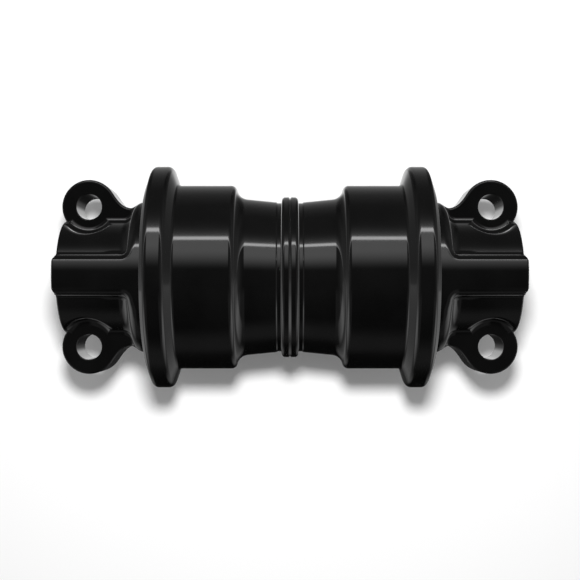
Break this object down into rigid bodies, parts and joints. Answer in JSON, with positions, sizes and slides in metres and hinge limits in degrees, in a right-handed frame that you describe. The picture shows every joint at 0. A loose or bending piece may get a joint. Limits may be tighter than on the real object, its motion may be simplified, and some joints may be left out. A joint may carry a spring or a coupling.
{
  "type": "track roller",
  "caption": "Double-flange bottom roller for a crawler undercarriage: a waisted shell turning on a shaft held by two bolt-on end collars.",
  "frame": {"origin": "middle of the shaft's axis, which is the centre of the bounding box", "axes": "+X along the shaft, +Z out of the collars' ribs and bolt-head faces, with the mounting pads facing -Z"},
  "size_m": [0.3858, 0.188, 0.188],
  "materials": {
    "black_paint": "high-gloss black paint",
    "machined_steel": "machined",
    "bearing_bronze": "bored bearing bronze",
    "lapped_steel": "lapped",
    "seal_rubber": "matte",
    "copper": "bright copper"
  },
  "bodies": {
    "fixed_frame": {"shaft": "machined_steel", "oil_plug": "machined_steel", "plug_washer": "copper", "collar_left": "black_paint", "fixed_seal_ring_left": "lapped_steel", "fixed_seal_toric_left": "seal_rubber", "shaft_o_ring_left": "seal_rubber", "retaining_pin_left": "machined_steel", "collar_right": "black_paint", "fixed_seal_ring_right": "lapped_steel", "fixed_seal_toric_right": "seal_rubber", "shaft_o_ring_right": "seal_rubber", "retaining_pin_right": "machined_steel"},
    "shell": {"shell_half_left": "black_paint", "bushing_left": "bearing_bronze", "rotating_seal_ring_left": "lapped_steel", "rotating_seal_toric_left": "seal_rubber", "shell_half_right": "black_paint", "bushing_right": "bearing_bronze", "rotating_seal_ring_right": "lapped_steel", "rotating_seal_toric_right": "seal_rubber"}
  },
  "joints": [
    {"name": "shell_spin", "type": "hinge", "parent": "fixed_frame", "child": "shell", "pos_m": [0, 0, 0], "axis": [1, 0, 0], "continuous": true}
  ]
}
